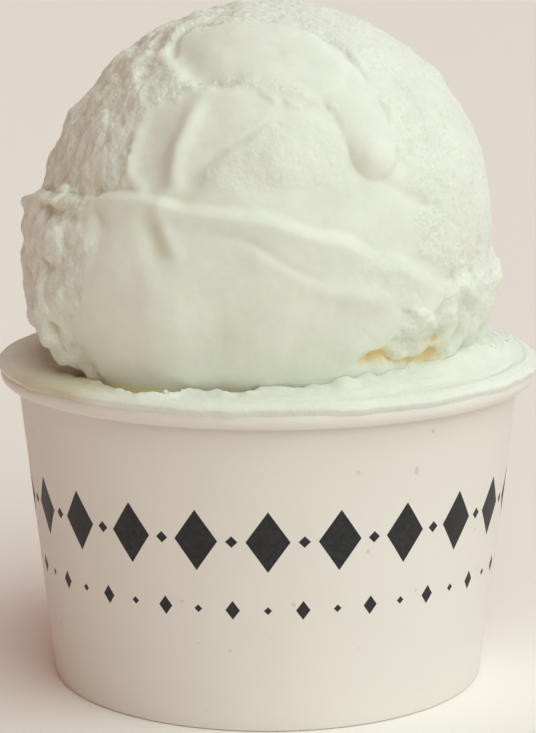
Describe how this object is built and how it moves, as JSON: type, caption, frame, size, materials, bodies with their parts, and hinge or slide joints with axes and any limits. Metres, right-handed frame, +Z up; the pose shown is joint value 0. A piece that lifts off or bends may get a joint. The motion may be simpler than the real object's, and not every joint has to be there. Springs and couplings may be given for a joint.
{
  "type": "gelato cup",
  "caption": "Squat tapered paper cup with a rolled rim, filled level with white gelato and topped by a large scoop with a smeared ledge and a drooping tongue.",
  "frame": {"origin": "middle of the cup's foot, on the table", "axes": "+Z up, -Y towards the viewer, +X to the viewer's right"},
  "size_m": [0.087, 0.087, 0.1098],
  "materials": {
    "paperboard": "white coated paperboard with a soft satin sheen and a band of plain navy ornament",
    "gelato": "soft white gelato, smooth and moist where it was wiped and rough and icy where it was torn"
  },
  "bodies": {
    "root": {"cup_sidewall": "paperboard", "cup_base_disc": "paperboard", "gelato_fill": "gelato", "gelato_scoop": "gelato"}
  },
  "joints": []
}
